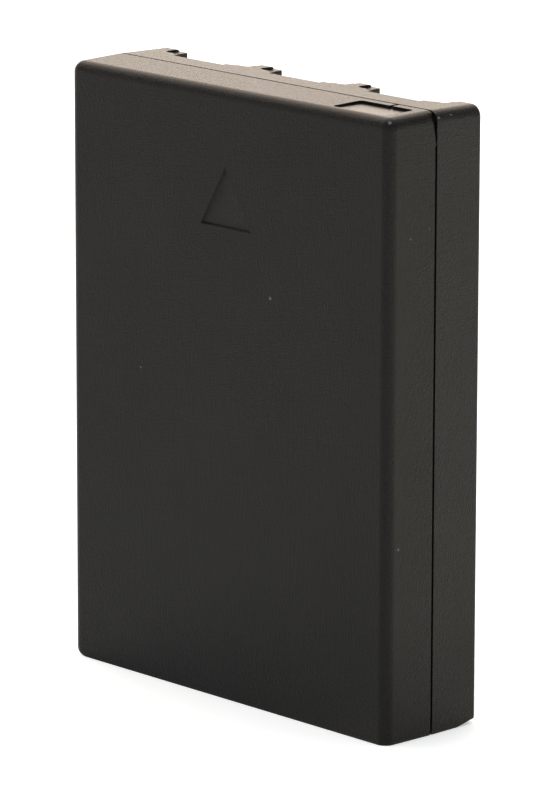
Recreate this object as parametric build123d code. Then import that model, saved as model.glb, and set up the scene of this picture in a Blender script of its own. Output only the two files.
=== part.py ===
from build123d import *
import os
from math import radians, tan

# Compact camera battery: two moulded half shells, welded along a seam, around one flat lithium cell
# and its protection board. Millimetres, +Z up, front face towards -Y, origin at the middle of the base.

# Cell, its sleeve and the pads that bed it
cell_width = 30.0
cell_height = 35.0
cell_thickness = 6.9
cell_edge_round = 2.0
sleeve_film = 0.1
sleeve_margin = 0.6
tape_thickness = 0.15
tape_width = 22.0
tape_height = 24.0
tape_corner = 1.5
pad_thickness = 0.5
pad_length = 18.0
pad_width = 4.0
pad_corner = 0.8

# Terminal on the cell's lid
terminal_length = 4.0
terminal_width = 2.4
terminal_thickness = 0.4
terminal_corner = 0.5
terminal_stem = 1.6
stem_depth = 0.6
gasket_rim = 0.5
gasket_thickness = 0.3
gasket_sleeve_wall = 0.4
gasket_floor = 0.3

# Shells
face_wall = 0.85
side_wall = 1.2
top_wall = 1.2
bottom_wall = 1.0
side_gap = 0.4
front_depth = 4.4
draft_angle = 1.15
cavity_corner = 0.55
front_edge_round = 0.8
rear_edge_round = 0.3
corner_extra = 0.05
base_trim = 0.6
key_round = 1.5
heel_length = 1.95
heel_rise = 0.33
heel_round = 0.4
seam_groove_width = 0.2
seam_groove_depth = 0.3
lip_setback = 0.1
lip_thickness = 0.4
lip_height = 0.5
lip_clearance = 0.06

# Arrow mark sunk in the front face
mark_base = 5.2
mark_height = 4.4
mark_depth = 0.15
mark_wall_slope = 45.0
mark_below_top = 10.12

# Pocket in the top of the front shell, and the nick between it and the seam
pocket_length = 5.3
pocket_depth = 0.18
pocket_corner = 0.35
pocket_side_rim = 1.45
pocket_front_rim = 0.9
pocket_seam_rim = 0.63
nick_width = 0.3
nick_depth = 0.15
nick_from_pocket_end = 2.3

# Relief in the front shell's rim at the top right corner
relief_width = 0.42
relief_height = 1.8
relief_depth = 0.4

# Contacts, and the bays and windows that they show through
contact_width = 4.6
contact_height = 3.6
contact_thickness = 0.3
contact_corner = 0.4
contact_setback = 2.4
contact_clearance = 0.05
window_side_gap = 0.325
window_sill_gap = 0.15
shoulder_wall = 0.75
shoulder_round = 0.3
bay_sill = 0.4
bay_floor_wall = 0.8
bay_corner = 0.6
bay_edge_round = 0.12
ledge_width = 0.9
ledge_drop = 0.16
window_edge_round = 0.12
end_block = 2.0
tongue_width = 1.0

# Protection board and its holder
board_thickness = 0.8
board_tail = 1.6
board_lift = 1.4
board_top_gap = 0.6
board_end_gap = 0.1
board_slide_gap = 0.05
contact_drop = 0.1
insulator_thickness = 0.2
insulator_margin = 0.4
insulator_window_gap = 0.4
holder_side_gap = 0.35
holder_post = 2.0
holder_front_gap = 0.3
holder_top_gap = 0.15
holder_groove = 1.0
holder_bar_width = 0.8
holder_bar_height = 1.6

# Nickel leads and the fuse
lead_thickness = 0.15
lead_width = 3.0
lead_weld_length = 3.0
lead_rise = 3.4
fuse_length = 4.4
fuse_width = 2.6

# Parts soldered to the front of the board
chip_length = 2.9
chip_height = 1.6
chip_thickness = 1.1
chip_pins = 3
switch_length = 3.0
switch_height = 3.0
switch_thickness = 1.0
switch_pins = 4
pin_width = 0.35
pin_reach = 0.5
pin_thickness = 0.2
passive_length = 1.6
passive_width = 0.8
passive_thickness = 0.6
passive_gap = 0.7
part_gap = 0.7

# Label on the rear face, and the polarity signs above it
label_side_margin = 4.2
label_base = 4.0
label_film = 0.1
label_recess = 0.13
label_gap = 0.15
label_corner = 1.2
label_sign_gap = 2.4
sign_size = 1.6
sign_stroke = 0.4
sign_depth = 0.15
sign_below_bay = 1.7

# Places of the shells and the cell
half_depth = cell_thickness / 2 + sleeve_film + tape_thickness + face_wall
half_width = cell_width / 2 + sleeve_film + side_gap + side_wall
front_y = -half_depth
rear_y = half_depth
seam_y = front_y + front_depth
cell_base = bottom_wall + pad_thickness
cell_top = cell_base + cell_height
board_base = cell_top + board_lift
board_height = contact_drop + contact_height + board_tail
board_top = board_base + board_height
height = board_top + board_top_gap + top_wall
draft = tan(radians(draft_angle))
lip_outset = lip_setback + lip_thickness
outline_corner = front_edge_round + corner_extra

# Places of the contacts, bays and board, counted in from the rear face and down from the board's top
contact_plane = rear_y - contact_setback
contact_back = contact_plane - contact_clearance
shoulder_y = contact_plane + shoulder_wall
board_back = contact_back - contact_thickness
board_front = board_back - board_thickness
contact_top = board_top - contact_drop
contact_base = contact_top - contact_height
window_floor = contact_base - window_sill_gap
window_width = contact_width + 2 * window_side_gap
bay_floor = window_floor - bay_sill
bay_mouth = (2 * half_width - 2 * end_block - 2 * tongue_width) / 3
bay_width = bay_mouth - 2 * ledge_width
contact_pitch = bay_mouth + tongue_width
ledge_z = height - (rear_y - seam_y) * draft - ledge_drop
bay_places = [-contact_pitch, 0, contact_pitch]

# Places of the holder and the terminal
holder_half = half_width - side_wall - holder_side_gap
holder_inner = holder_half - holder_post
holder_base = cell_top + insulator_thickness
board_half = holder_inner + holder_groove - board_end_gap
gasket_length = terminal_length + 2 * gasket_rim
gasket_width = terminal_width + 2 * gasket_rim
gasket_bore = terminal_stem + 2 * gasket_sleeve_wall
terminal_base = cell_top + gasket_thickness
terminal_top = terminal_base + terminal_thickness

# Row of parts along the board, left to right: resistors, chip, capacitors, switches, thermistor
pair_spacing = passive_width + passive_gap
pair_width = pair_spacing + passive_width
row_width = 2 * pair_width + chip_length + switch_length + passive_width + 4 * part_gap
resistor_x = pair_width / 2 - row_width / 2
chip_x = resistor_x + pair_width / 2 + part_gap + chip_length / 2
capacitor_x = chip_x + chip_length / 2 + part_gap + pair_width / 2
switch_x = capacitor_x + pair_width / 2 + part_gap + switch_length / 2
thermistor_x = row_width / 2 - passive_width / 2
row_z = board_base + board_height / 2
positive_lead_x = -row_width / 2 - part_gap - lead_width / 2
fuse_x = row_width / 2 + part_gap + lead_width / 2
fuse_rear = board_front - 2 * lead_thickness

# Places of the label and the signs
sign_z = bay_floor - sign_below_bay
label_half = half_width - label_side_margin
label_top = sign_z - sign_size / 2 - label_sign_gap
recess_y = rear_y - label_recess

# Reach of cutters past the faces that they open, and slack when an edge is picked by its place
over = 1.0
slack = 0.02


def span_box(x_low, x_high, y_low, y_high, z_low, z_high):
    """Box between two limits along each axis."""
    middle = Pos((x_low + x_high) / 2, (y_low + y_high) / 2, (z_low + z_high) / 2)
    return middle * Box(x_high - x_low, y_high - y_low, z_high - z_low)


def centred_box(x, width, y_low, y_high, z_low, z_high):
    """Box of a given width centred on x, between limits along the other axes."""
    return span_box(x - width / 2, x + width / 2, y_low, y_high, z_low, z_high)


def upright_slab(y_low, y_high, half, z_low, z_high, corner):
    """Slab of rounded rectangular outline between two depths."""
    place = Plane.XZ.offset(-y_high) * Pos(0, (z_low + z_high) / 2)
    return extrude(place * RectangleRounded(2 * half, z_high - z_low, corner), y_high - y_low)


def drafted_block(side_inset, base_inset, top_inset, corner, far_y):
    """Half of the case from the seam to far_y: sides and top draw in, the base stays square."""
    depth = abs(far_y - seam_y)
    draw = depth * draft
    width = 2 * (half_width - side_inset)
    rise = height - top_inset - base_inset
    block = Wedge(width, depth, rise, draw, 0, width - draw, rise - draw,
                  align=(Align.CENTER, Align.MIN, Align.MIN))
    block = fillet([edge for edge in block.edges() if edge.bounding_box().size.Y > slack], corner)
    turn = 0 if far_y > seam_y else 180
    return Pos(0, seam_y, base_inset) * Rot(0, 0, turn) * block


def key_cutter(far_y):
    """What the wider round along one long edge of the base takes away, drawn in with the side."""
    with BuildSketch(Plane.XZ.offset(-seam_y)) as corner:
        with BuildLine():
            Polyline((-half_width, key_round), (-half_width - over, key_round), (-half_width - over, -over),
                     (-half_width + key_round, -over), (-half_width + key_round, 0))
            RadiusArc((-half_width + key_round, 0), (-half_width, key_round), key_round)
        make_face()
    outwards = 1 if far_y > seam_y else -1
    return extrude(corner.sketch, abs(far_y - seam_y) + over, dir=(draft, outwards, 0))


def outer_block(far_y, edge_round):
    """Outside of one shell: rounded edges around its face, and a flat base that trims the lower rounds."""
    block = drafted_block(0, -base_trim, 0, outline_corner, far_y)
    block = fillet([edge for edge in block.edges() if abs(edge.center().Y - far_y) < slack], edge_round)
    block = split(block, Plane.XY, keep=Keep.TOP)
    return block - key_cutter(far_y)


def heel_cutter():
    """What the rise at the rear of the base, and the round of its rear edge, take away."""
    toe = (rear_y - heel_length, 0)
    round_start = (rear_y - heel_round, heel_rise)
    round_end = (rear_y, heel_rise + heel_round)
    with BuildSketch(Plane.YZ.offset(-half_width - over)) as profile:
        with BuildLine():
            Line(toe, round_start)
            TangentArc(round_start, round_end, tangent=(1, 0))
            Polyline(round_end, (rear_y + over, heel_rise + heel_round), (rear_y + over, -over),
                     (rear_y - heel_length, -over), toe)
        make_face()
    return extrude(profile.sketch, 2 * (half_width + over))


def rim_slab(y_low, y_high, outset):
    """Slab over the mouth of the cavity, grown outwards into the walls by outset."""
    half = half_width - side_wall + outset
    z_low = bottom_wall - outset
    z_high = height - top_wall + outset
    return upright_slab(y_low, y_high, half, z_low, z_high, cavity_corner + outset)


def cavity(far_y):
    """Hollow of one shell, with the same draft as its outside."""
    return drafted_block(side_wall, bottom_wall, top_wall, cavity_corner, far_y)


def front_shell():
    """Front half: sunk arrow mark, key pocket in the top, rebate for the lip, relief at one corner."""
    shell = outer_block(front_y, front_edge_round)
    shell -= cavity(front_y + face_wall)
    shell -= rim_slab(seam_y - lip_height - lip_clearance, seam_y + over, lip_outset + lip_clearance)

    mark = Polygon((-mark_base / 2, 0), (mark_base / 2, 0), (0, mark_height), align=None)
    mark_seat = Plane.XZ.offset(-front_y) * Pos(0, height - mark_below_top)
    shell -= extrude(mark_seat * mark, -mark_depth, taper=mark_wall_slope)

    pocket_right = half_width - pocket_side_rim
    pocket_left = pocket_right - pocket_length
    pocket_front = front_y + pocket_front_rim
    pocket_back = seam_y - pocket_seam_rim
    pocket_floor = height - pocket_depth
    pocket = span_box(pocket_left, pocket_right, pocket_front, pocket_back, pocket_floor, height + over)
    shell -= fillet(pocket.edges().filter_by(Axis.Z), pocket_corner)

    nick_x = pocket_right - nick_from_pocket_end
    shell -= centred_box(nick_x, nick_width, pocket_back - pocket_corner, seam_y + over,
                         height - nick_depth, height + over)

    relief = Polygon((seam_y + over, height + over), (seam_y - relief_width, height + over),
                     (seam_y - relief_width, height), (seam_y, height - relief_height),
                     (seam_y + over, height - relief_height), align=None)
    shell -= extrude(Plane.YZ.offset(half_width - relief_depth) * relief, relief_depth + over)
    return shell


def bay_cut(x):
    """Open bay at the rear of the top end, with a rounded edge where it meets the top."""
    top = height - (shoulder_y - seam_y) * draft
    round_start = (shoulder_y, top - shoulder_round)
    round_end = (shoulder_y - shoulder_round, top)
    with BuildPart() as cut:
        with BuildSketch(Plane.YZ.offset(x - bay_width / 2)):
            with BuildLine():
                Line((shoulder_y, bay_floor), round_start)
                TangentArc(round_start, round_end, tangent=(0, 1))
                Polyline(round_end, (shoulder_y - shoulder_round, height + over),
                         (rear_y + over, height + over), (rear_y + over, bay_floor),
                         (shoulder_y, bay_floor))
            make_face()
        extrude(amount=bay_width)
        upright = cut.edges().filter_by(Axis.Z)
        fillet(upright.filter_by_position(Axis.Y, shoulder_y - slack, shoulder_y + slack), bay_corner)
    return cut.part


def bay_ledges(x):
    """Shallow step on both sides of a bay, just under the top."""
    step = centred_box(x, bay_mouth, shoulder_y, rear_y + over, ledge_z, height + over)
    return fillet(step.edges().filter_by(Axis.Z).group_by(Axis.Y)[0], bay_corner)


def bay_edges(shell):
    """Edges where the side walls and floors of the bays meet the rear face."""
    walls = [place + side * bay_width / 2 for place in bay_places for side in (-1, 1)]
    picked = []
    for edge in shell.edges():
        middle = edge.center()
        size = edge.bounding_box().size
        on_rear = middle.Y > rear_y - slack
        on_wall = size.X < slack and min(abs(middle.X - wall) for wall in walls) < slack
        on_floor = size.Z < slack and abs(middle.Z - bay_floor) < slack
        if on_rear and (on_wall or on_floor):
            picked.append(edge)
    return picked


def window_edges(shell):
    """Edges of the windows in the shoulder wall, below its rounded top."""
    picked = []
    for edge in shell.edges():
        middle = edge.center()
        from_window = min(abs(middle.X - place) for place in bay_places)
        on_shoulder = edge.bounding_box().size.Y < slack and abs(middle.Y - shoulder_y) < slack
        inside = from_window < window_width / 2 + slack
        if on_shoulder and inside and bay_floor + slack < middle.Z < height - top_wall:
            picked.append(edge)
    return picked


def polarity_signs():
    """Plus and minus cut into the rear face below the outer bays."""
    y_low = rear_y - sign_depth
    y_high = rear_y + over
    half = sign_size / 2
    half_stroke = sign_stroke / 2
    signs = centred_box(bay_places[0], sign_stroke, y_low, y_high, sign_z - half, sign_z + half)
    for place in (bay_places[0], bay_places[2]):
        signs += centred_box(place, sign_size, y_low, y_high, sign_z - half_stroke, sign_z + half_stroke)
    return signs


def rear_shell():
    """Rear half: lip at the seam, contact bays with windows and partitions, recess for the label."""
    shell = outer_block(rear_y, rear_edge_round) - heel_cutter()
    shell -= cavity(rear_y - face_wall)
    groove = upright_slab(seam_y, seam_y + seam_groove_width, half_width + over, -over, height + over,
                          outline_corner)
    groove -= upright_slab(seam_y - over, seam_y + over, half_width - seam_groove_depth, seam_groove_depth,
                           height - seam_groove_depth, outline_corner)
    shell -= groove
    lip = rim_slab(seam_y - lip_height, seam_y + lip_height, lip_outset)
    shell += lip - rim_slab(seam_y - over, seam_y + over, lip_setback)

    block_half = half_width - side_wall / 2
    shell += span_box(-block_half, block_half, contact_plane, rear_y - face_wall / 2,
                      bay_floor - bay_floor_wall, height - top_wall / 2)
    for place in bay_places:
        shell -= bay_cut(place)
        shell -= centred_box(place, window_width, contact_plane, rear_y + over, window_floor, height + over)
    shell = fillet(bay_edges(shell), bay_edge_round)
    shell = fillet(window_edges(shell), window_edge_round)
    for place in bay_places:
        shell -= bay_ledges(place)

    shell -= upright_slab(recess_y, rear_y + over, label_half + label_gap, label_base - label_gap,
                          label_top + label_gap, label_corner + label_gap)
    return shell - polarity_signs()


def can_outline(grow):
    """Plan of the flat can, grown outwards by a film."""
    return RectangleRounded(cell_width + 2 * grow, cell_thickness + 2 * grow, cell_edge_round + grow)


def upright_cylinder(diameter, z_low, z_high):
    """Round stem on the cell's axis."""
    return Pos(0, 0, (z_low + z_high) / 2) * Cylinder(diameter / 2, z_high - z_low)


def rounded_plate(length, width, corner, z_low, z_high):
    """Flat plate over the middle of the cell."""
    return Pos(0, 0, z_low) * extrude(RectangleRounded(length, width, corner), z_high - z_low)


def cell_can():
    """Sealed can with a blind seat for the terminal in its lid."""
    can = Pos(0, 0, cell_base) * extrude(can_outline(0), cell_height)
    return can - upright_cylinder(gasket_bore, cell_top - stem_depth - gasket_floor, cell_top)


def cell_gasket():
    """Insulating washer with a blind sleeve that lines the seat in the lid."""
    washer = rounded_plate(gasket_length, gasket_width, terminal_corner, cell_top, terminal_base)
    washer += upright_cylinder(gasket_bore, cell_top - stem_depth - gasket_floor, cell_top)
    return washer - upright_cylinder(terminal_stem, cell_top - stem_depth, terminal_base)


def cell_terminal():
    """Riveted terminal: flat head on the gasket and a stem in its sleeve."""
    head = rounded_plate(terminal_length, terminal_width, terminal_corner, terminal_base, terminal_top)
    return head + upright_cylinder(terminal_stem, cell_top - stem_depth, terminal_base)


def cell_sleeve():
    """Insulating film around the can, open at both ends."""
    ring = can_outline(sleeve_film) - can_outline(0)
    return Pos(0, 0, cell_base + sleeve_margin) * extrude(ring, cell_height - 2 * sleeve_margin)


def bed_tape(y_low):
    """Double-sided tape between the sleeve and one shell."""
    middle = cell_base + cell_height / 2
    return upright_slab(y_low, y_low + tape_thickness, tape_width / 2, middle - tape_height / 2,
                        middle + tape_height / 2, tape_corner)


def bottom_pad():
    """Foam pad under the can."""
    return rounded_plate(pad_length, pad_width, pad_corner, bottom_wall, cell_base)


def top_insulator():
    """Card on the lid, open around the gasket and at the weld of the positive lead."""
    card = rounded_plate(cell_width - 2 * insulator_margin, cell_thickness - 2 * insulator_margin,
                         cell_edge_round - insulator_margin, cell_top, holder_base)
    gasket_reach = gasket_width / 2 + insulator_window_gap
    card -= centred_box(0, gasket_length + 2 * insulator_window_gap, -gasket_reach, gasket_reach,
                        cell_top - over, cell_top + over)
    weld_front = board_front - lead_weld_length - insulator_window_gap
    return card - centred_box(positive_lead_x, lead_width + 2 * insulator_window_gap, weld_front,
                              board_front + insulator_window_gap, cell_top - over, cell_top + over)


def board_holder():
    """Bracket on the card: a post with a groove for the board at each end, and a bar along the front."""
    front = front_y + face_wall + holder_front_gap
    top = height - top_wall - holder_top_gap
    holder = span_box(-holder_half, holder_half, front, front + holder_bar_width, holder_base,
                      holder_base + holder_bar_height)
    for side in (-1, 1):
        post_x = side * (holder_half + holder_inner) / 2
        holder += centred_box(post_x, holder_post, front, contact_back, holder_base, top)
    groove_half = holder_inner + holder_groove
    return holder - span_box(-groove_half, groove_half, board_front - board_slide_gap,
                             board_back + board_slide_gap, board_base, top + over)


def protection_board():
    """Circuit board, upright, with its ends in the holder's grooves."""
    return span_box(-board_half, board_half, board_front, board_back, board_base, board_top)


def contact_plate(x):
    """Plated contact soldered to the rear of the board, behind its window."""
    plate = upright_slab(board_back, contact_back, contact_width / 2, contact_base, contact_top,
                         contact_corner)
    return Pos(x, 0, 0) * plate


def angled_lead(x, base_z):
    """Nickel strip that lies flat at base_z and turns up against the front of the board."""
    strip = centred_box(x, lead_width, board_front - lead_weld_length, board_front, base_z,
                        base_z + lead_thickness)
    inner = board_front - lead_thickness
    strip += centred_box(x, lead_width, inner, board_front, base_z, base_z + lead_rise)
    along = strip.edges().filter_by(Axis.X)
    at_board = along.filter_by_position(Axis.Y, board_front - slack, board_front + slack)
    return fillet(at_board.sort_by(Axis.Z)[0], lead_thickness)


def resettable_fuse():
    """Flat thermal fuse between the lead under it and the strip over it."""
    return centred_box(fuse_x, fuse_length, fuse_rear - fuse_width, fuse_rear, holder_base + lead_thickness,
                       terminal_top)


def negative_lead():
    """Straight strip from the terminal's head to the top of the fuse."""
    rear = min(terminal_width / 2, fuse_rear)
    return span_box(-terminal_length / 2, fuse_x + fuse_length / 2, -terminal_width / 2, rear, terminal_top,
                    terminal_top + lead_thickness)


def pinned_package(x, length, body_height, thickness, pins):
    """Moulded package on the front of the board with a row of pins above and below."""
    half = body_height / 2
    package = centred_box(x, length, board_front - thickness, board_front, row_z - half, row_z + half)
    half += pin_reach
    pitch = length / pins
    for index in range(pins):
        pin_x = x - length / 2 + pitch * (index + 0.5)
        package += centred_box(pin_x, pin_width, board_front - pin_thickness, board_front, row_z - half,
                               row_z + half)
    return package


def passive(x):
    """Small two-ended part soldered flat on the front of the board."""
    half = passive_length / 2
    front = board_front - passive_thickness
    return centred_box(x, passive_width, front, board_front, row_z - half, row_z + half)


def passive_pair(x):
    """Two like parts side by side."""
    return Compound(children=[passive(x - pair_spacing / 2), passive(x + pair_spacing / 2)])


def rear_label():
    """Plain label in the recess of the rear face."""
    return upright_slab(recess_y, recess_y + label_film, label_half, label_base, label_top, label_corner)


pieces = {
    "front_shell": front_shell(),
    "rear_shell": rear_shell(),
    "cell_can": cell_can(),
    "cell_gasket": cell_gasket(),
    "cell_terminal": cell_terminal(),
    "cell_sleeve": cell_sleeve(),
    "bottom_pad": bottom_pad(),
    "front_tape": bed_tape(front_y + face_wall),
    "rear_tape": bed_tape(rear_y - face_wall - tape_thickness),
    "top_insulator": top_insulator(),
    "board_holder": board_holder(),
    "protection_board": protection_board(),
    "positive_contact": contact_plate(bay_places[0]),
    "sense_contact": contact_plate(bay_places[1]),
    "negative_contact": contact_plate(bay_places[2]),
    "positive_lead": angled_lead(positive_lead_x, cell_top),
    "negative_lead": negative_lead(),
    "resettable_fuse": resettable_fuse(),
    "fuse_lead": angled_lead(fuse_x, holder_base),
    "protection_chip": pinned_package(chip_x, chip_length, chip_height, chip_thickness, chip_pins),
    "switch_transistors": pinned_package(switch_x, switch_length, switch_height, switch_thickness,
                                         switch_pins),
    "thermistor": passive(thermistor_x),
    "filter_resistors": passive_pair(resistor_x),
    "filter_capacitors": passive_pair(capacitor_x),
    "rear_label": rear_label(),
}

os.makedirs("parts", exist_ok=True)
for name, solid in pieces.items():
    export_step(solid, f"parts/{name}.step")
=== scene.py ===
import math

import bpy
from mathutils import Matrix, Vector


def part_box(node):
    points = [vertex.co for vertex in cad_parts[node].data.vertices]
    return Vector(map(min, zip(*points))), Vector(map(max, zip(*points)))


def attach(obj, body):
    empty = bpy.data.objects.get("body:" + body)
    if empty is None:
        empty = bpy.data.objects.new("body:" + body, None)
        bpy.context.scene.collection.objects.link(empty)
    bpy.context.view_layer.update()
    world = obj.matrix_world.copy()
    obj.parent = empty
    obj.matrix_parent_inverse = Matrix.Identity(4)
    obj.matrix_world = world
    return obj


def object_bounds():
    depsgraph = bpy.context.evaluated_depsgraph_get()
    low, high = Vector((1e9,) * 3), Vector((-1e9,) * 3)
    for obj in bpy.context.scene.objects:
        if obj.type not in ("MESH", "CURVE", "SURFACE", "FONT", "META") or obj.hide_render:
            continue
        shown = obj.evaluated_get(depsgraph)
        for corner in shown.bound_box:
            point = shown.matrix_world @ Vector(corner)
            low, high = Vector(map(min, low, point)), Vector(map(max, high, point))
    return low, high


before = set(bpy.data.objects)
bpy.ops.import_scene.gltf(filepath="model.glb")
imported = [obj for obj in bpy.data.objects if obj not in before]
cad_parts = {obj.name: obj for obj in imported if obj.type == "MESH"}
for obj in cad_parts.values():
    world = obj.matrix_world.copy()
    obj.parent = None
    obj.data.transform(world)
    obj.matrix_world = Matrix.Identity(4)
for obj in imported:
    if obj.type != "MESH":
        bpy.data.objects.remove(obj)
cad_low, cad_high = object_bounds()

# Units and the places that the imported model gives
MM = 0.001
front_low, front_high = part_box("front_shell")
passive_low, passive_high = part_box("thermistor")
FRONT_Y = front_low.y
SEAM_Y = front_high.y
CASE_TOP = cad_high.z
CASE_SIDE = cad_high.x
PASSIVE_MIDDLE = (passive_low + passive_high) / 2
PASSIVE_HALF = (passive_high - passive_low) / 2

# Camera, as the photograph was taken: angles in degrees, lengths in millimetres, image in pixels
IMAGE_HEIGHT = 800
SENSOR = 36.0
VIEW_AZIMUTH = 46.6
VIEW_ELEVATION = 13.24
VIEW_ROLL = 0.13
VIEW_DISTANCE = 403.9
VIEW_SLIDE = 0.286
VIEW_LIFT = -0.872
FOCAL_PIXELS = 5589.0

# Studio: lengths in metres, brightness with 1 as white
FLOOR_HALF = 3.0
FLOOR_DROP = 0.02 * MM
FLOOR_WHITE = 0.9
FLOOR_LIFT = 0.36
FLOOR_WARM = (1.0, 0.92, 0.68)
FLOOR_BEHIND = (0.7, 0.7, 0.0)
FLOOR_BEHIND_LEVEL = 1.0
FLOOR_AHEAD = (0.7, -0.7, 0.0)
FLOOR_AHEAD_LEVEL = 0.6
FLOOR_RAMP = 0.05
SKY_BRIGHT = 0.95
SKY_DIM = 0.08
SKY_FACING = (-0.62, -0.70, 0.35)
SKY_COLOUR = (1.0, 0.98, 0.96, 1.0)
SURROUND_DARK = 0.14
SURROUND_FADE = 0.16
WARM_LIGHT = (1.0, 0.85, 0.72)
COOL_LIGHT = (0.92, 0.97, 1.0)
BACK_FACING = (-0.66, 0.48, 0.57)
BACK_GLOW = 0.75
BACK_GLOW_EDGE = 0.48
BACK_GLOW_CORE = 0.86
BACK_DISTANCE = 1.6
BACK_WIDTH = 2.1
BACK_RADIANCE = 1.55
TOP_PLACE = (0.0, 0.0, 2.0)
TOP_WIDTH = 2.4
TOP_RADIANCE = 1.6

# Seam groove and the weld bead in it, in millimetres
GROOVE_MIDDLE = 0.1
OUTLINE_ROUND = 0.85
KEY_ROUND = 1.5
CORNER_STEPS = 6
BEAD_INSET = 0.25
BEAD_RADIUS = 0.055
BEAD_SWING = 0.6
BEAD_STEP = 0.12
CRUMB_COUNT = 160
CRUMB_RADIUS = 0.05
CRUMB_SPREAD = 0.03

# Smooth floor of the pocket in the top: distances in from the case's side, seam and top, in millimetres
POCKET_FROM_SIDE = 4.1
POCKET_FROM_SEAM = 2.065
POCKET_DEPTH = 0.18
POCKET_HALF = (2.65, 1.435, 0.03)

# Floor of the sunk arrow mark, painted lighter as a painted sheen: depth, middle below the top, and half
# sizes, in millimetres
MARK_DEPTH = 0.15
MARK_BELOW_TOP = 7.9
MARK_HALF = (2.6, 0.03, 2.2)

# How far the drafted side lies in from the seam where its flecks are, in millimetres
SIDE_DRAW = 0.065


def add_node(tree, kind, inputs=None, **settings):
    """Adds a node, sets its options, and sets or links its inputs by name or index."""
    made = tree.nodes.new(kind)
    for option, value in settings.items():
        setattr(made, option, value)
    for key, value in (inputs or {}).items():
        if isinstance(value, bpy.types.NodeSocket):
            tree.links.new(value, made.inputs[key])
        else:
            made.inputs[key].default_value = value
    return made


def maths(tree, operation, first, second=0.0):
    """One step of arithmetic, as an output socket."""
    return add_node(tree, "ShaderNodeMath", {0: first, 1: second}, operation=operation).outputs[0]


def vector_maths(tree, operation, first, second):
    """One step of vector arithmetic, as an output socket."""
    return add_node(tree, "ShaderNodeVectorMath", {0: first, 1: second}, operation=operation).outputs[0]


def along(tree, vector, direction):
    """How far a vector reaches along a direction, as an output socket."""
    reach = add_node(tree, "ShaderNodeVectorMath", {0: vector, 1: direction}, operation="DOT_PRODUCT")
    return reach.outputs["Value"]


def map_range(tree, value, from_low, from_high, to_low, to_high, **settings):
    """Value carried from one range to another and kept inside it."""
    inputs = {"Value": value, "From Min": from_low, "From Max": from_high, "To Min": to_low,
              "To Max": to_high}
    return add_node(tree, "ShaderNodeMapRange", inputs, **settings).outputs[0]


def blend(tree, share, first, second):
    """Colour between two colours, given as sockets or as red, green and blue."""
    colours = [c if isinstance(c, bpy.types.NodeSocket) else (*c, 1.0) for c in (first, second)]
    mixed = add_node(tree, "ShaderNodeMix", {0: share, 6: colours[0], 7: colours[1]}, data_type="RGBA")
    return mixed.outputs[2]


def blend_value(tree, share, first, second):
    """Value between two values, given as sockets or numbers."""
    return add_node(tree, "ShaderNodeMix", {0: share, 2: first, 3: second}, data_type="FLOAT").outputs[0]


def new_group(name, kind, inputs, outputs):
    """Node group with named sockets, as the group with its inner input and output sockets."""
    group = bpy.data.node_groups.new(name, kind)
    for label, socket, value in inputs:
        made = group.interface.new_socket(name=label, in_out="INPUT", socket_type=socket)
        if value is not None:
            made.default_value = value
    for label, socket in outputs:
        group.interface.new_socket(name=label, in_out="OUTPUT", socket_type=socket)
    entry = group.nodes.new("NodeGroupInput").outputs
    leave = group.nodes.new("NodeGroupOutput").inputs
    return group, entry, leave


def use_group(tree, group, inputs):
    """Places a shader node group and gives its output sockets."""
    return add_node(tree, "ShaderNodeGroup", inputs, node_tree=group).outputs


def make_moulded_grain():
    """Fine spark-eroded grain of moulded plastic: a normal and an uneven tone."""
    group, entry, leave = new_group(
        "moulded_grain", "ShaderNodeTree",
        [("Vector", "NodeSocketVector", None), ("Scale", "NodeSocketFloat", 5000.0),
         ("Strength", "NodeSocketFloat", 0.5)],
        [("Normal", "NodeSocketVector"), ("Tone", "NodeSocketFloat")])
    fine = add_node(group, "ShaderNodeTexNoise", {"Vector": entry["Vector"], "Scale": entry["Scale"],
                                                  "Detail": 2.0, "Roughness": 0.6})
    coarse_scale = maths(group, "MULTIPLY", entry["Scale"], 0.37)
    coarse = add_node(group, "ShaderNodeTexNoise", {"Vector": entry["Vector"], "Scale": coarse_scale,
                                                    "Detail": 1.0})
    height = blend_value(group, 0.2, fine.outputs["Fac"], coarse.outputs["Fac"])
    bump = add_node(group, "ShaderNodeBump", {"Strength": entry["Strength"], "Distance": 0.1 * MM,
                                              "Height": height})
    group.links.new(bump.outputs[0], leave["Normal"])
    group.links.new(map_range(group, height, 0.3, 0.7, 0.0, 1.0), leave["Tone"])
    return group


def make_slow_drift():
    """Slow uneven change over a surface, from handling and uneven gloss."""
    group, entry, leave = new_group(
        "slow_drift", "ShaderNodeTree",
        [("Vector", "NodeSocketVector", None), ("Scale", "NodeSocketFloat", 150.0),
         ("Low", "NodeSocketFloat", 0.0), ("High", "NodeSocketFloat", 1.0)],
        [("Value", "NodeSocketFloat")])
    noise = add_node(group, "ShaderNodeTexNoise", {"Vector": entry["Vector"], "Scale": entry["Scale"],
                                                   "Detail": 3.0, "Roughness": 0.55})
    value = map_range(group, noise.outputs["Fac"], 0.3, 0.7, entry["Low"], entry["High"])
    group.links.new(value, leave["Value"])
    return group


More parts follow.
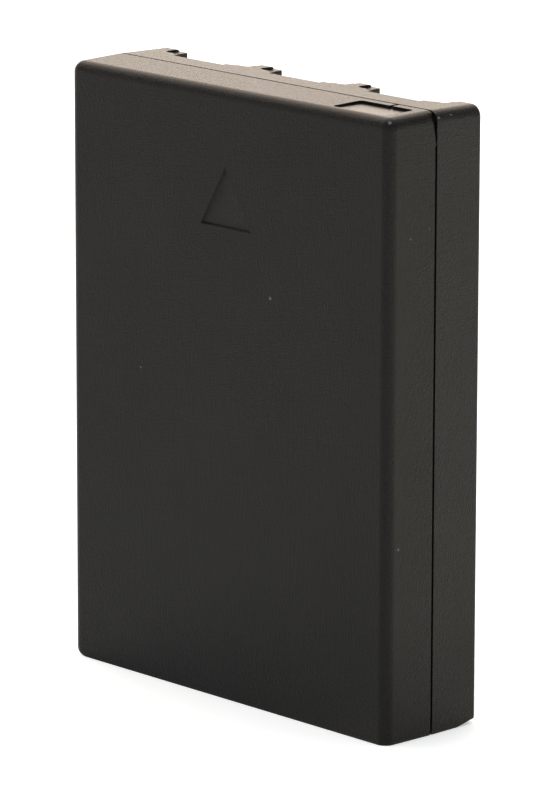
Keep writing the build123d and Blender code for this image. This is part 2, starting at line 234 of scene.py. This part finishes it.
def make_drawn_lines():
    """Fine lines left by rolling, drawing or wiping: a normal and a streaky tone."""
    group, entry, leave = new_group(
        "drawn_lines", "ShaderNodeTree",
        [("Vector", "NodeSocketVector", None), ("Stretch", "NodeSocketVector", (1.0, 1.0, 1.0)),
         ("Strength", "NodeSocketFloat", 0.3)],
        [("Normal", "NodeSocketVector"), ("Tone", "NodeSocketFloat")])
    stretched = vector_maths(group, "MULTIPLY", entry["Vector"], entry["Stretch"])
    noise = add_node(group, "ShaderNodeTexNoise", {"Vector": stretched, "Scale": 1.0, "Detail": 3.0,
                                                   "Roughness": 0.6})
    bump = add_node(group, "ShaderNodeBump", {"Strength": entry["Strength"], "Distance": 0.01 * MM,
                                              "Height": noise.outputs["Fac"]})
    group.links.new(bump.outputs[0], leave["Normal"])
    group.links.new(map_range(group, noise.outputs["Fac"], 0.3, 0.7, 0.0, 1.0), leave["Tone"])
    return group


def make_dust():
    """Sparse dust: a mask of small specks, a few of the cells of a scattered pattern."""
    group, entry, leave = new_group(
        "settled_dust", "ShaderNodeTree",
        [("Vector", "NodeSocketVector", None), ("Scale", "NodeSocketFloat", 700.0),
         ("Cover", "NodeSocketFloat", 0.03), ("Size", "NodeSocketFloat", 0.06)],
        [("Mask", "NodeSocketFloat")])
    cells = add_node(group, "ShaderNodeTexVoronoi", {"Vector": entry["Vector"], "Scale": entry["Scale"]})
    chance = add_node(group, "ShaderNodeSeparateColor", {0: cells.outputs["Color"]}).outputs[0]
    chosen = maths(group, "LESS_THAN", chance, entry["Cover"])
    inner = maths(group, "MULTIPLY", entry["Size"], 0.5)
    near = map_range(group, cells.outputs["Distance"], inner, entry["Size"], 1.0, 0.0)
    group.links.new(maths(group, "MULTIPLY", chosen, near), leave["Mask"])
    return group


def make_box_mask():
    """Mask of the places inside a box."""
    group, entry, leave = new_group(
        "box_mask", "ShaderNodeTree",
        [("Vector", "NodeSocketVector", None), ("Centre", "NodeSocketVector", (0, 0, 0)),
         ("Half", "NodeSocketVector", (1, 1, 1))],
        [("Mask", "NodeSocketFloat")])
    away = vector_maths(group, "SUBTRACT", entry["Vector"], entry["Centre"])
    share = vector_maths(group, "DIVIDE", away, entry["Half"])
    parts = add_node(group, "ShaderNodeSeparateXYZ", {0: share}).outputs
    sizes = [maths(group, "ABSOLUTE", part) for part in parts]
    widest = maths(group, "MAXIMUM", maths(group, "MAXIMUM", sizes[0], sizes[1]), sizes[2])
    group.links.new(maths(group, "LESS_THAN", widest, 1.0), leave["Mask"])
    return group


def make_fleck_and_highlight_mask():
    """Mask of one ragged spot around a place, serving for specks and scuffs and for a painted highlight."""
    group, entry, leave = new_group(
        "fleck_and_highlight_mask", "ShaderNodeTree",
        [("Vector", "NodeSocketVector", None), ("Centre", "NodeSocketVector", (0, 0, 0)),
         ("Radius", "NodeSocketFloat", 0.1 * MM)],
        [("Mask", "NodeSocketFloat")])
    span = add_node(group, "ShaderNodeVectorMath", {0: entry["Vector"], 1: entry["Centre"]},
                    operation="DISTANCE").outputs["Value"]
    share = maths(group, "DIVIDE", span, entry["Radius"])
    noise = add_node(group, "ShaderNodeTexNoise", {"Vector": entry["Vector"], "Scale": 9000.0,
                                                   "Detail": 2.0})
    ragged = maths(group, "ADD", share, maths(group, "MULTIPLY", noise.outputs["Fac"], 1.2))
    group.links.new(map_range(group, ragged, 1.0, 1.5, 1.0, 0.0), leave["Mask"])
    return group


def begin_material(name):
    """New node material, with its tree and its object coordinates."""
    material = bpy.data.materials.new(name)
    material.use_nodes = True
    tree = material.node_tree
    tree.nodes.clear()
    return material, tree, add_node(tree, "ShaderNodeTexCoord").outputs["Object"]


def end_material(tree, inputs):
    """Surface shader and output of a material."""
    shader = add_node(tree, "ShaderNodeBsdfPrincipled", inputs)
    add_node(tree, "ShaderNodeOutputMaterial", {"Surface": shader.outputs[0]})


def shell_plastic(groups, flecks_and_highlight):
    """Satin black moulded plastic: fine grain, smooth pocket floor, dust and a few whitish specks and
    scuffs, a painted highlight on the front top corner, and a painted sheen on the sunk mark's floor.
    """
    material, tree, place = begin_material("satin_black_plastic")
    pocket_middle = (CASE_SIDE - POCKET_FROM_SIDE * MM, SEAM_Y - POCKET_FROM_SEAM * MM,
                     CASE_TOP - POCKET_DEPTH * MM)
    mark_middle = (0, FRONT_Y + MARK_DEPTH * MM, CASE_TOP - MARK_BELOW_TOP * MM)
    pocket, mark = [
        use_group(tree, groups["box_mask"], {"Vector": place, "Centre": middle,
                                             "Half": tuple(size * MM for size in half)})["Mask"]
        for middle, half in ((pocket_middle, POCKET_HALF), (mark_middle, MARK_HALF))]
    facing = add_node(tree, "ShaderNodeTexCoord").outputs["Normal"]
    upward = map_range(tree, along(tree, facing, (0.0, 0.0, 1.0)), 0.5, 0.95, 0.0, 1.0)
    strength = blend_value(tree, pocket, blend_value(tree, upward, 1.0, 0.35), 0.1)
    grain = use_group(tree, groups["moulded_grain"], {"Vector": place, "Scale": 9500.0,
                                                      "Strength": strength})
    drift = use_group(tree, groups["slow_drift"], {"Vector": place, "Scale": 140.0, "Low": 0.29,
                                                   "High": 0.35})
    dust = use_group(tree, groups["settled_dust"], {"Vector": place, "Scale": 420.0, "Cover": 0.012,
                                                    "Size": 0.035})["Mask"]
    pale_marks_and_highlight = dust
    for spot, radius in flecks_and_highlight:
        spot_shape = use_group(tree, groups["fleck_and_highlight_mask"], {"Vector": place, "Centre": spot, "Radius": radius})
        pale_marks_and_highlight = maths(tree, "MAXIMUM", pale_marks_and_highlight, spot_shape["Mask"])
    plain = blend(tree, grain["Tone"], (0.0022, 0.0022, 0.0024), (0.0112, 0.0112, 0.0112))
    # The mark's floor gets one lighter tone without grain: a painted sheen for its smoother floor.
    plain = blend(tree, mark, plain, (0.0125, 0.0125, 0.0122))
    # Dust, whitish specks and nicks, and the painted highlight on the front top corner all share one whitish
    # colour.
    colour = blend(tree, pale_marks_and_highlight, plain, (0.13, 0.127, 0.12))
    gloss = blend_value(tree, pocket, blend_value(tree, upward, drift["Value"], 0.26), 0.17)
    end_material(tree, {"Base Color": colour, "Roughness": gloss, "Specular IOR Level": 0.15,
                        "Normal": grain["Normal"]})
    return material


def grained_plastic(groups, name, dark, light, gloss, strength):
    """Moulded plastic of another colour with the same kind of grain."""
    material, tree, place = begin_material(name)
    grain = use_group(tree, groups["moulded_grain"], {"Vector": place, "Scale": 4200.0,
                                                      "Strength": strength})
    drift = use_group(tree, groups["slow_drift"], {"Vector": place, "Scale": 220.0, "Low": gloss - 0.05,
                                                   "High": gloss + 0.05})
    colour = blend(tree, grain["Tone"], dark, light)
    end_material(tree, {"Base Color": colour, "Roughness": drift["Value"], "Normal": grain["Normal"]})
    return material


def lined_metal(groups, name, dark, light, stretch, gloss, strength):
    """Metal with fine lines along its rolling or wiping direction and an uneven gloss."""
    material, tree, place = begin_material(name)
    lines = use_group(tree, groups["drawn_lines"], {"Vector": place, "Stretch": stretch,
                                                    "Strength": strength})
    drift = use_group(tree, groups["slow_drift"], {"Vector": place, "Scale": 320.0, "Low": gloss - 0.07,
                                                   "High": gloss + 0.07})
    colour = blend(tree, lines["Tone"], dark, light)
    end_material(tree, {"Base Color": colour, "Metallic": 1.0, "Roughness": drift["Value"],
                        "Normal": lines["Normal"]})
    return material


def clear_film(groups, name, dark, light, gloss, coat):
    """Thin plastic film: slow change of tone, faint pull lines and a clear surface."""
    material, tree, place = begin_material(name)
    lines = use_group(tree, groups["drawn_lines"], {"Vector": place, "Stretch": (900.0, 900.0, 60.0),
                                                    "Strength": 0.12})
    drift = use_group(tree, groups["slow_drift"], {"Vector": place, "Scale": 90.0})
    rough = use_group(tree, groups["slow_drift"], {"Vector": place, "Scale": 260.0, "Low": gloss - 0.04,
                                                   "High": gloss + 0.04})
    colour = blend(tree, drift["Value"], dark, light)
    end_material(tree, {"Base Color": colour, "Roughness": rough["Value"], "Coat Weight": coat,
                        "Coat Roughness": 0.1, "Normal": lines["Normal"]})
    return material


def pad_foam(groups):
    """Closed-cell foam with open cut cells at its surface, darker in the cell hollows as painted shade."""
    material, tree, place = begin_material("closed_cell_foam")
    cells = add_node(tree, "ShaderNodeTexVoronoi", {"Vector": place, "Scale": 3600.0})
    depth = map_range(tree, cells.outputs["Distance"], 0.0, 0.5, 0.0, 1.0)
    bump = add_node(tree, "ShaderNodeBump", {"Strength": 0.8, "Distance": 0.08 * MM, "Height": depth})
    drift = use_group(tree, groups["slow_drift"], {"Vector": place, "Scale": 300.0, "Low": 0.82,
                                                   "High": 0.95})
    # Darker at the bottoms of the cell hollows: painted shade.
    colour = blend(tree, depth, (0.022, 0.022, 0.023), (0.07, 0.07, 0.072))
    end_material(tree, {"Base Color": colour, "Roughness": drift["Value"], "Normal": bump.outputs[0]})
    return material


def fibre_sheet(groups, name, dark, light, gloss):
    """Pressed fibre card or woven tape: short fibres in both directions."""
    material, tree, place = begin_material(name)
    along = use_group(tree, groups["drawn_lines"], {"Vector": place, "Stretch": (500.0, 4000.0, 4000.0),
                                                    "Strength": 0.4})
    across = use_group(tree, groups["drawn_lines"], {"Vector": place, "Stretch": (4000.0, 500.0, 500.0),
                                                     "Strength": 0.4})
    weave = maths(tree, "MULTIPLY", along["Tone"], across["Tone"])
    drift = use_group(tree, groups["slow_drift"], {"Vector": place, "Scale": 180.0, "Low": gloss - 0.06,
                                                   "High": gloss + 0.06})
    colour = blend(tree, weave, dark, light)
    end_material(tree, {"Base Color": colour, "Roughness": drift["Value"], "Normal": along["Normal"]})
    return material


def board_resin(groups):
    """Glass-fibre board under green solder resist: the weave shows faintly."""
    material, tree, place = begin_material("solder_resist")
    warp = add_node(tree, "ShaderNodeTexWave", {"Vector": place, "Scale": 620.0, "Distortion": 0.6},
                    bands_direction="X")
    weft = add_node(tree, "ShaderNodeTexWave", {"Vector": place, "Scale": 620.0, "Distortion": 0.6},
                    bands_direction="Z")
    weave = maths(tree, "MULTIPLY", warp.outputs["Fac"], weft.outputs["Fac"])
    bump = add_node(tree, "ShaderNodeBump", {"Strength": 0.15, "Distance": 0.01 * MM, "Height": weave})
    drift = use_group(tree, groups["slow_drift"], {"Vector": place, "Scale": 240.0, "Low": 0.22,
                                                   "High": 0.34})
    colour = blend(tree, weave, (0.012, 0.12, 0.05), (0.025, 0.19, 0.085))
    end_material(tree, {"Base Color": colour, "Roughness": drift["Value"], "Normal": bump.outputs[0]})
    return material


def passive_ceramic(groups):
    """Fired ceramic chip with tinned ends."""
    material, tree, place = begin_material("fired_ceramic")
    centre = (0, PASSIVE_MIDDLE.y, PASSIVE_MIDDLE.z)
    half = (CASE_SIDE, 2 * PASSIVE_HALF.y, 0.62 * PASSIVE_HALF.z)
    body = use_group(tree, groups["box_mask"], {"Vector": place, "Centre": centre, "Half": half})["Mask"]
    tinned = maths(tree, "SUBTRACT", 1.0, body)
    grain = use_group(tree, groups["moulded_grain"], {"Vector": place, "Scale": 9000.0, "Strength": 0.3})
    drift = use_group(tree, groups["slow_drift"], {"Vector": place, "Scale": 900.0, "Low": 0.3,
                                                   "High": 0.45})
    fired = blend(tree, grain["Tone"], (0.32, 0.24, 0.16), (0.47, 0.37, 0.27))
    colour = blend(tree, tinned, fired, (0.72, 0.71, 0.68))
    end_material(tree, {"Base Color": colour, "Metallic": tinned, "Roughness": drift["Value"],
                        "Normal": grain["Normal"]})
    return material


def make_materials(groups):
    """One material for each of the part's material slots."""
    side = CASE_SIDE - SIDE_DRAW * MM
    flecks_and_highlight = [
        ((4.7 * MM, FRONT_Y, 30.5 * MM), 0.17 * MM),
        ((-9.0 * MM, FRONT_Y, 23.2 * MM), 0.11 * MM),
        ((side, -3.4 * MM, 14.2 * MM), 0.12 * MM),
        ((side, -0.65 * MM, 36.8 * MM), 0.1 * MM),
        ((side, -2.45 * MM, 36.3 * MM), 0.09 * MM),
        # Spot on the front top right corner: a painted highlight, not wear.
        ((CASE_SIDE - 0.45 * MM, FRONT_Y + 0.4 * MM, CASE_TOP - 0.35 * MM), 0.17 * MM),
        ((CASE_SIDE - 0.1 * MM, 0.25 * MM, CASE_TOP - 0.5 * MM), 0.16 * MM),
        ((CASE_SIDE - 0.12 * MM, 1.5 * MM, CASE_TOP - 0.45 * MM), 0.13 * MM),
    ]
    return {
        "shell_plastic": shell_plastic(groups, flecks_and_highlight),
        "can_aluminium": lined_metal(groups, "drawn_aluminium", (0.62, 0.63, 0.64), (0.78, 0.79, 0.80),
                                     (5000.0, 5000.0, 120.0), 0.38, 0.35),
        "gasket_plastic": grained_plastic(groups, "gasket_plastic", (0.09, 0.09, 0.1), (0.14, 0.14, 0.15),
                                          0.5, 0.3),
        "nickel": lined_metal(groups, "rolled_nickel", (0.56, 0.53, 0.47), (0.74, 0.71, 0.65),
                              (200.0, 6000.0, 6000.0), 0.3, 0.3),
        "sleeve_film": clear_film(groups, "sleeve_polyester", (0.07, 0.17, 0.35), (0.12, 0.26, 0.48),
                                  0.2, 0.4),
        "pad_foam": pad_foam(groups),
        "tape": fibre_sheet(groups, "bedding_tape", (0.68, 0.67, 0.61), (0.86, 0.85, 0.8), 0.7),
        "insulating_card": fibre_sheet(groups, "vulcanised_card", (0.33, 0.37, 0.31), (0.5, 0.54, 0.47),
                                       0.75),
        "holder_plastic": grained_plastic(groups, "natural_plastic", (0.68, 0.67, 0.62), (0.79, 0.78, 0.74),
                                          0.45, 0.3),
        "board_resin": board_resin(groups),
        "contact_plating": lined_metal(groups, "wiped_gold_plating", (0.58, 0.39, 0.14), (0.76, 0.56, 0.24),
                                       (7000.0, 7000.0, 150.0), 0.36, 0.4),
        "fuse_body": grained_plastic(groups, "coated_polymer", (0.46, 0.26, 0.05), (0.62, 0.39, 0.11),
                                     0.4, 0.4),
        "chip_resin": grained_plastic(groups, "moulded_epoxy", (0.018, 0.018, 0.019), (0.034, 0.034, 0.036),
                                      0.6, 0.5),
        "passive_ceramic": passive_ceramic(groups),
        "label_film": clear_film(groups, "plain_label_film", (0.105, 0.108, 0.112), (0.117, 0.12, 0.124),
                                 0.46, 0.0),
    }


def seam_path():
    """Corner-rounded loop along the middle of the seam groove, as points in order."""
    half = CASE_SIDE - BEAD_INSET * MM
    low = BEAD_INSET * MM
    high = CASE_TOP - BEAD_INSET * MM
    depth = SEAM_Y + GROOVE_MIDDLE * MM
    points = []
    corners = [(half, low, -90, OUTLINE_ROUND), (half, high, 0, OUTLINE_ROUND),
               (-half, high, 90, OUTLINE_ROUND), (-half, low, 180, KEY_ROUND)]
    for x, z, start, corner_round in corners:
        turn = corner_round * MM
        middle_x = x - math.copysign(turn, x)
        middle_z = z - turn if z > turn else z + turn
        for step in range(CORNER_STEPS + 1):
            angle = math.radians(start + 90 * step / CORNER_STEPS)
            points.append((middle_x + turn * math.cos(angle), depth, middle_z + turn * math.sin(angle)))
    return points


def path_carrier(name):
    """Mesh of the seam loop that the seam's node trees start from."""
    points = seam_path()
    mesh = bpy.data.meshes.new(name)
    count = len(points)
    mesh.from_pydata(points, [(index, (index + 1) % count) for index in range(count)], [])
    carrier = bpy.data.objects.new(name, mesh)
    bpy.context.scene.collection.objects.link(carrier)
    return carrier


def bead_tree():
    """Tree that sweeps an uneven round bead along a path."""
    tree, entry, leave = new_group(
        "weld_bead", "GeometryNodeTree",
        [("Geometry", "NodeSocketGeometry", None), ("Bead Radius", "NodeSocketFloat", 0.05 * MM),
         ("Swing", "NodeSocketFloat", 0.5), ("Step", "NodeSocketFloat", 0.1 * MM),
         ("Noise Scale", "NodeSocketFloat", 900.0), ("Seed", "NodeSocketFloat", 3.0),
         ("Material", "NodeSocketMaterial", None)],
        [("Geometry", "NodeSocketGeometry")])
    loop = add_node(tree, "GeometryNodeMeshToCurve", {"Mesh": entry["Geometry"]})
    fine = add_node(tree, "GeometryNodeResampleCurve", {"Curve": loop.outputs[0], "Length": entry["Step"]},
                    mode="LENGTH")
    where = add_node(tree, "GeometryNodeInputPosition").outputs[0]
    noise = add_node(tree, "ShaderNodeTexNoise", {"Vector": where, "W": entry["Seed"],
                                                  "Scale": entry["Noise Scale"], "Detail": 2.0},
                     noise_dimensions="4D")
    swing = maths(tree, "MULTIPLY", maths(tree, "SUBTRACT", noise.outputs["Fac"], 0.5), entry["Swing"])
    size = maths(tree, "ADD", maths(tree, "MULTIPLY", swing, 2.0), 1.0)
    round_profile = add_node(tree, "GeometryNodeCurvePrimitiveCircle", {"Resolution": 8,
                                                                        "Radius": entry["Bead Radius"]})
    swept = add_node(tree, "GeometryNodeCurveToMesh", {"Curve": fine.outputs[0], "Scale": size,
                                                       "Profile Curve": round_profile.outputs[0]})
    smooth = add_node(tree, "GeometryNodeSetShadeSmooth", {0: swept.outputs[0]})
    real = add_node(tree, "GeometryNodeRealizeInstances", {0: smooth.outputs[0]})
    dressed = add_node(tree, "GeometryNodeSetMaterial", {"Geometry": real.outputs[0],
                                                         "Material": entry["Material"]})
    tree.links.new(dressed.outputs[0], leave["Geometry"])
    return tree


def crumb_tree():
    """Tree that scatters small crumbs of weld flash along a path."""
    tree, entry, leave = new_group(
        "weld_crumbs", "GeometryNodeTree",
        [("Geometry", "NodeSocketGeometry", None), ("Count", "NodeSocketInt", 100),
         ("Crumb Radius", "NodeSocketFloat", 0.05 * MM), ("Spread", "NodeSocketFloat", 0.03 * MM),
         ("Seed", "NodeSocketInt", 5), ("Material", "NodeSocketMaterial", None)],
        [("Geometry", "NodeSocketGeometry")])
    loop = add_node(tree, "GeometryNodeMeshToCurve", {"Mesh": entry["Geometry"]})
    places = add_node(tree, "GeometryNodeCurveToPoints", {"Curve": loop.outputs[0], "Count": entry["Count"]},
                      mode="COUNT")
    unit = add_node(tree, "FunctionNodeRandomValue", {0: (-1, -1, -1), 1: (1, 1, 1), "Seed": entry["Seed"]},
                    data_type="FLOAT_VECTOR").outputs[0]
    offset = add_node(tree, "ShaderNodeVectorMath", {0: unit, "Scale": entry["Spread"]}, operation="SCALE")
    moved = add_node(tree, "GeometryNodeSetPosition", {"Geometry": places.outputs[0],
                                                       "Offset": offset.outputs[0]})
    ball = add_node(tree, "GeometryNodeMeshIcoSphere", {"Radius": entry["Crumb Radius"], "Subdivisions": 1})
    turned = add_node(tree, "FunctionNodeRandomValue", {0: (0, 0, 0), 1: (6.28, 6.28, 6.28),
                                                        "Seed": entry["Seed"]}, data_type="FLOAT_VECTOR")
    sized = add_node(tree, "FunctionNodeRandomValue", {0: (0.3, 0.3, 0.4), 1: (0.9, 0.8, 1.4),
                                                       "Seed": entry["Seed"]}, data_type="FLOAT_VECTOR")
    spread = add_node(tree, "GeometryNodeInstanceOnPoints", {
        "Points": moved.outputs[0], "Instance": ball.outputs[0], "Rotation": turned.outputs[0],
        "Scale": sized.outputs[0]})
    real = add_node(tree, "GeometryNodeRealizeInstances", {0: spread.outputs[0]})
    dressed = add_node(tree, "GeometryNodeSetMaterial", {"Geometry": real.outputs[0],
                                                         "Material": entry["Material"]})
    tree.links.new(dressed.outputs[0], leave["Geometry"])
    return tree


def grow(name, carrier, tree, values):
    """Runs a node tree on a carrier and keeps the outcome as a plain mesh piece."""
    modifier = carrier.modifiers.new(name, "NODES")
    modifier.node_group = tree
    for item in tree.interface.items_tree:
        if item.in_out == "INPUT" and item.name in values:
            modifier[item.identifier] = values[item.name]
    ready = carrier.evaluated_get(bpy.context.evaluated_depsgraph_get())
    mesh = bpy.data.meshes.new_from_object(ready)
    mesh.name = name
    carrier.modifiers.remove(modifier)
    bpy.data.objects.remove(carrier)
    piece = bpy.data.objects.new(name, mesh)
    bpy.context.scene.collection.objects.link(piece)
    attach(piece, "root")
    return piece


def add_weld_flake(material):
    """Small flake of flash that stands in the seam groove near the top of the right side."""
    points = [(16.42, -0.12, 42.62), (16.66, -0.13, 42.55), (16.67, 0.02, 42.7), (16.64, -0.11, 42.98),
              (16.4, 0.03, 42.95), (16.6, 0.04, 42.48)]
    faces = [(0, 1, 3), (1, 2, 3), (2, 4, 3), (4, 0, 3), (1, 0, 5), (2, 1, 5), (4, 2, 5), (0, 4, 5)]
    mesh = bpy.data.meshes.new("weld_flake")
    mesh.from_pydata([tuple(size * MM for size in point) for point in points], [], faces)
    mesh.materials.append(material)
    flake = bpy.data.objects.new("weld_flake", mesh)
    bpy.context.scene.collection.objects.link(flake)
    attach(flake, "root")


def add_weld_flash(material):
    """Bead and crumbs left by welding the two shells, deep in the seam groove."""
    grow("weld_bead", path_carrier("bead_path"), bead_tree(),
         {"Bead Radius": BEAD_RADIUS * MM, "Swing": BEAD_SWING, "Step": BEAD_STEP * MM,
          "Noise Scale": 900.0, "Seed": 3.0, "Material": material})
    grow("weld_crumbs", path_carrier("crumb_path"), crumb_tree(),
         {"Count": CRUMB_COUNT, "Crumb Radius": CRUMB_RADIUS * MM, "Spread": CRUMB_SPREAD * MM,
          "Seed": 5, "Material": material})


def add_camera():
    """Camera at the photograph's angle, looking at the seam at mid height."""
    azimuth = math.radians(VIEW_AZIMUTH)
    elevation = math.radians(VIEW_ELEVATION)
    forward = Vector((-math.sin(azimuth) * math.cos(elevation), math.cos(azimuth) * math.cos(elevation),
                      -math.sin(elevation)))
    right = forward.cross(Vector((0, 0, 1))).normalized()
    up = right.cross(forward)
    turn = Matrix.Rotation(-math.radians(VIEW_ROLL), 3, forward)
    right = turn @ right
    up = turn @ up
    target = Vector((0, SEAM_Y, CASE_TOP / 2)) + right * VIEW_SLIDE * MM + up * VIEW_LIFT * MM
    data = bpy.data.cameras.new("photo_camera")
    data.sensor_width = SENSOR
    data.lens = FOCAL_PIXELS * SENSOR / IMAGE_HEIGHT
    data.clip_start = 0.01
    camera = bpy.data.objects.new("photo_camera", data)
    turned = Matrix((right, up, -forward)).transposed().to_4x4()
    camera.matrix_world = Matrix.Translation(target - forward * VIEW_DISTANCE * MM) @ turned
    bpy.context.scene.collection.objects.link(camera)
    bpy.context.scene.camera = camera


def add_surround():
    """White surround near the horizon, darker above, with a soft light from the front left."""
    world = bpy.data.worlds.new("studio_surround")
    world.use_nodes = True
    tree = world.node_tree
    tree.nodes.clear()
    direction = add_node(tree, "ShaderNodeTexCoord").outputs["Generated"]
    upward = add_node(tree, "ShaderNodeSeparateXYZ", {0: direction}).outputs["Z"]
    fade = map_range(tree, upward, 0.0, SURROUND_FADE, 1.0, SURROUND_DARK, interpolation_type="SMOOTHSTEP")
    backward = along(tree, direction, BACK_FACING)
    glow = map_range(tree, backward, BACK_GLOW_EDGE, BACK_GLOW_CORE, 0.0, BACK_GLOW,
                     interpolation_type="SMOOTHSTEP")
    mirrored = blend(tree, glow, fade, WARM_LIGHT)
    path = add_node(tree, "ShaderNodeLightPath").outputs
    backdrop = blend(tree, path["Is Camera Ray"], mirrored, (1.0, 1.0, 1.0))
    seen = add_node(tree, "ShaderNodeBackground", {"Color": backdrop, "Strength": 1.0})
    level = map_range(tree, along(tree, direction, SKY_FACING), -1.0, 1.0, SKY_DIM, SKY_BRIGHT)
    soft = add_node(tree, "ShaderNodeBackground", {"Color": SKY_COLOUR, "Strength": level})
    looked = maths(tree, "MAXIMUM", path["Is Camera Ray"], path["Is Glossy Ray"])
    looked = maths(tree, "MAXIMUM", looked, path["Is Transmission Ray"])
    mixed = add_node(tree, "ShaderNodeMixShader", {0: looked, 1: soft.outputs[0], 2: seen.outputs[0]})
    add_node(tree, "ShaderNodeOutputWorld", {"Surface": mixed.outputs[0]})
    bpy.context.scene.world = world


def add_panel(name, place, width, radiance, colour):
    """Soft round lamp of a given brightness that faces the object."""
    data = bpy.data.lights.new(name, "AREA")
    data.shape = "DISK"
    data.size = width
    data.energy = radiance * math.pi * math.pi * width * width / 4
    data.color = colour
    lamp = bpy.data.objects.new(name, data)
    aim = Vector((0, 0, CASE_TOP / 2)) - Vector(place)
    lamp.matrix_world = Matrix.Translation(place) @ aim.to_track_quat("-Z", "Z").to_matrix().to_4x4()
    bpy.context.scene.collection.objects.link(lamp)


def add_floor():
    """Plain white floor that keeps the object's shadow and is warmer in reflections on the right."""
    mesh = bpy.data.meshes.new("studio_floor")
    corners = [(-1, -1), (1, -1), (1, 1), (-1, 1)]
    mesh.from_pydata([(x * FLOOR_HALF, y * FLOOR_HALF, -FLOOR_DROP) for x, y in corners], [], [(0, 1, 2, 3)])
    floor = bpy.data.objects.new("studio_floor", mesh)
    bpy.context.scene.collection.objects.link(floor)
    material = bpy.data.materials.new("studio_white")
    material.use_nodes = True
    tree = material.node_tree
    tree.nodes.clear()
    matt = add_node(tree, "ShaderNodeBsdfDiffuse", {"Color": (FLOOR_WHITE, FLOOR_WHITE, FLOOR_WHITE, 1)})
    path = add_node(tree, "ShaderNodeLightPath").outputs
    lift = maths(tree, "MULTIPLY", path["Is Camera Ray"], FLOOR_LIFT)
    white = add_node(tree, "ShaderNodeEmission", {"Color": (1, 1, 1, 1), "Strength": lift})
    place = add_node(tree, "ShaderNodeTexCoord").outputs["Object"]
    levels = []
    for toward, level in ((FLOOR_BEHIND, FLOOR_BEHIND_LEVEL), (FLOOR_AHEAD, FLOOR_AHEAD_LEVEL)):
        levels.append(map_range(tree, along(tree, place, toward), 0.0, FLOOR_RAMP, 0.0, level))
    warmth = maths(tree, "MULTIPLY", path["Is Glossy Ray"], maths(tree, "ADD", levels[0], levels[1]))
    warm = add_node(tree, "ShaderNodeEmission", {"Color": (*FLOOR_WARM, 1), "Strength": warmth})
    both = add_node(tree, "ShaderNodeAddShader", {0: matt.outputs[0], 1: white.outputs[0]})
    whole = add_node(tree, "ShaderNodeAddShader", {0: both.outputs[0], 1: warm.outputs[0]})
    add_node(tree, "ShaderNodeOutputMaterial", {"Surface": whole.outputs[0]})
    mesh.materials.append(material)


def paint_pieces(materials):
    """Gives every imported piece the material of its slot."""
    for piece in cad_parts.values():
        for holder in piece.material_slots:
            holder.material = materials[holder.material.name.split(".")[0]]


bpy.context.scene.view_settings.view_transform = "Standard"
add_camera()
add_surround()
add_panel("back_panel", Vector(BACK_FACING) * BACK_DISTANCE, BACK_WIDTH, BACK_RADIANCE, WARM_LIGHT)
add_panel("top_panel", TOP_PLACE, TOP_WIDTH, TOP_RADIANCE, COOL_LIGHT)
add_floor()

shared = {group.name: group for group in (make_moulded_grain(), make_slow_drift(), make_drawn_lines(),
                                          make_dust(), make_box_mask(), make_fleck_and_highlight_mask())}
finishes = make_materials(shared)
paint_pieces(finishes)
add_weld_flash(finishes["shell_plastic"])
add_weld_flake(finishes["shell_plastic"])
